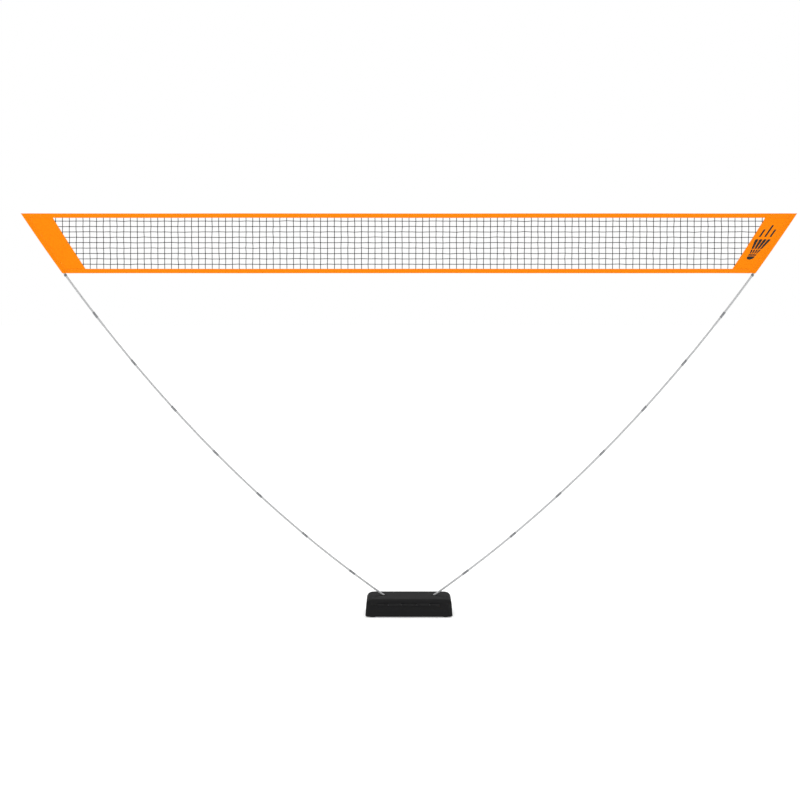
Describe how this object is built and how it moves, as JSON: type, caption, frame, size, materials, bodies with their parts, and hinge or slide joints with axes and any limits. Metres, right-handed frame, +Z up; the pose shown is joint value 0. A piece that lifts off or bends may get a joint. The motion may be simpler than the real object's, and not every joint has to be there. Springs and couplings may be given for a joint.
{
  "type": "portable badminton net",
  "caption": "Free-standing badminton net: sprung poles lean out of a hinged, latched storage case and stretch a tape-edged net between them.",
  "frame": {"origin": "on the ground, at the middle of the storage case, in the plane of the net", "axes": "+X along the net to the right, +Y from the case's hinged front towards its latches and handle, +Z up"},
  "size_m": [2.9834, 0.2012, 1.55],
  "materials": {
    "case_plastic": "fine textured black moulded plastic",
    "dark_plastic": "smooth black moulded plastic",
    "fibreglass": "light grey resin-coated fibreglass tube",
    "ferrule_metal": "dark drawn metal sleeve",
    "steel": "plain zinc-plated steel",
    "rubber": "matt black rubber",
    "orange_cloth": "close-woven bright orange polyester",
    "net_cord": "black knotted netting cord",
    "elastic": "white braided elastic cord"
  },
  "bodies": {
    "base": {"base_shell": "case_plastic", "hinge_pin": "steel", "weight_plate": "steel", "foot_front_left": "rubber", "foot_front_right": "rubber", "foot_rear_left": "rubber", "foot_rear_right": "rubber"},
    "lid": {"lid_shell": "case_plastic", "pole_socket_left": "dark_plastic", "grommet_left": "rubber", "pole_left_1": "fibreglass", "ferrule_left_1": "ferrule_metal", "pole_left_2": "fibreglass", "ferrule_left_2": "ferrule_metal", "pole_left_3": "fibreglass", "ferrule_left_3": "ferrule_metal", "pole_left_4": "fibreglass", "ferrule_left_4": "ferrule_metal", "pole_left_5": "fibreglass", "ferrule_left_5": "ferrule_metal", "pole_left_6": "fibreglass", "ferrule_left_6": "ferrule_metal", "pole_left_7": "fibreglass", "ferrule_left_7": "ferrule_metal", "pole_left_8": "fibreglass", "ferrule_left_8": "ferrule_metal", "pole_left_9": "fibreglass", "shock_cord_left": "elastic", "pole_tip_left": "rubber", "net_stop_left": "rubber", "side_band_left": "orange_cloth", "pole_socket_right": "dark_plastic", "grommet_right": "rubber", "pole_right_1": "fibreglass", "ferrule_right_1": "ferrule_metal", "pole_right_2": "fibreglass", "ferrule_right_2": "ferrule_metal", "pole_right_3": "fibreglass", "ferrule_right_3": "ferrule_metal", "pole_right_4": "fibreglass", "ferrule_right_4": "ferrule_metal", "pole_right_5": "fibreglass", "ferrule_right_5": "ferrule_metal", "pole_right_6": "fibreglass", "ferrule_right_6": "ferrule_metal", "pole_right_7": "fibreglass", "ferrule_right_7": "ferrule_metal", "pole_right_8": "fibreglass", "ferrule_right_8": "ferrule_metal", "pole_right_9": "fibreglass", "shock_cord_right": "elastic", "pole_tip_right": "rubber", "net_stop_right": "rubber", "side_band_right": "orange_cloth", "top_tape": "orange_cloth", "bottom_tape": "orange_cloth", "net_mesh": "net_cord"},
    "latch_left": {"latch_left": "dark_plastic"},
    "latch_right": {"latch_right": "dark_plastic"},
    "handle": {"carry_handle": "dark_plastic"}
  },
  "joints": [
    {"name": "lid_hinge", "type": "hinge", "parent": "base", "child": "lid", "pos_m": [0, -0.09688, 0.05], "axis": [1, 0, 0], "range_deg": [0, 90]},
    {"name": "latch_left_pivot", "type": "hinge", "parent": "lid", "child": "latch_left", "pos_m": [-0.118, 0.09804, 0.0575], "axis": [1, 0, 0], "range_deg": [0, 100]},
    {"name": "latch_right_pivot", "type": "hinge", "parent": "lid", "child": "latch_right", "pos_m": [0.118, 0.09804, 0.0575], "axis": [1, 0, 0], "range_deg": [0, 100]},
    {"name": "handle_pivot", "type": "hinge", "parent": "base", "child": "handle", "pos_m": [0, 0.08991, 0.039], "axis": [1, 0, 0], "range_deg": [0, 90]}
  ]
}
